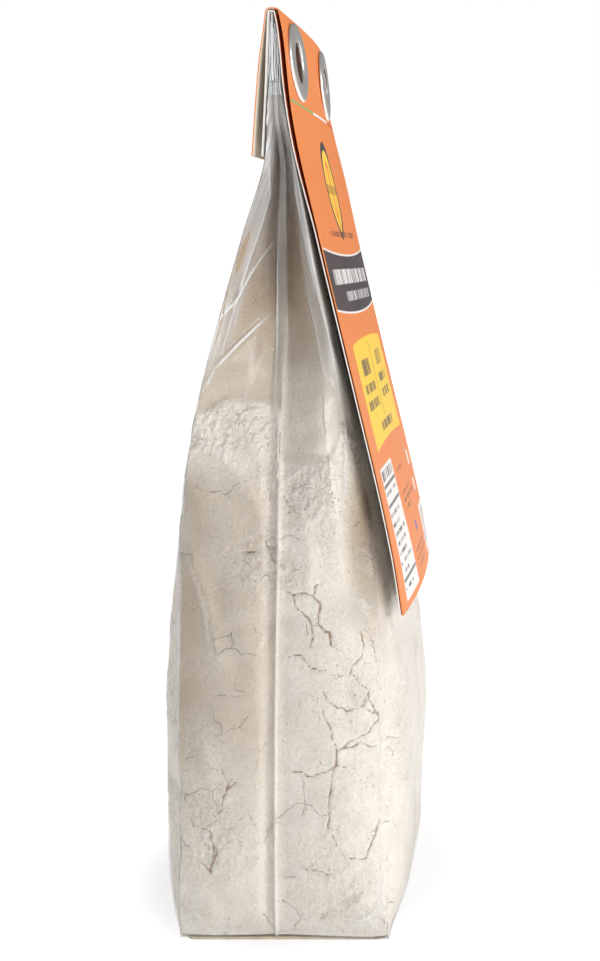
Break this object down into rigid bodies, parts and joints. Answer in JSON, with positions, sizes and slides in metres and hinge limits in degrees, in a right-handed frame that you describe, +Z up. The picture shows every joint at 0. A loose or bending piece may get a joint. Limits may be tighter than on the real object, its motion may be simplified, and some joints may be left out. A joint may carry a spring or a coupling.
{
  "type": "bag of flour",
  "caption": "Clear gusseted film bag filled with flour, standing on its flat base, closed by a folded header card with round steel eyelets.",
  "frame": {"origin": "centre of the bag's belt in plan, on the surface it stands on", "axes": "+Z up, +X toward the card's long front panel, -Y toward the near gusset side"},
  "size_m": [0.0779, 0.0956, 0.2714],
  "materials": {
    "film": "clear film over cream flour",
    "seal": "folded clear film, ambered",
    "card": "coated orange card",
    "liner": "coated orange card, pale edge",
    "steel": "polished nickel-plated steel"
  },
  "bodies": {
    "root": {"bag": "film", "neck": "film", "base_seal": "seal", "outer_card": "card", "inner_card": "liner", "near_eyelet": "steel", "far_eyelet": "steel"}
  },
  "joints": []
}
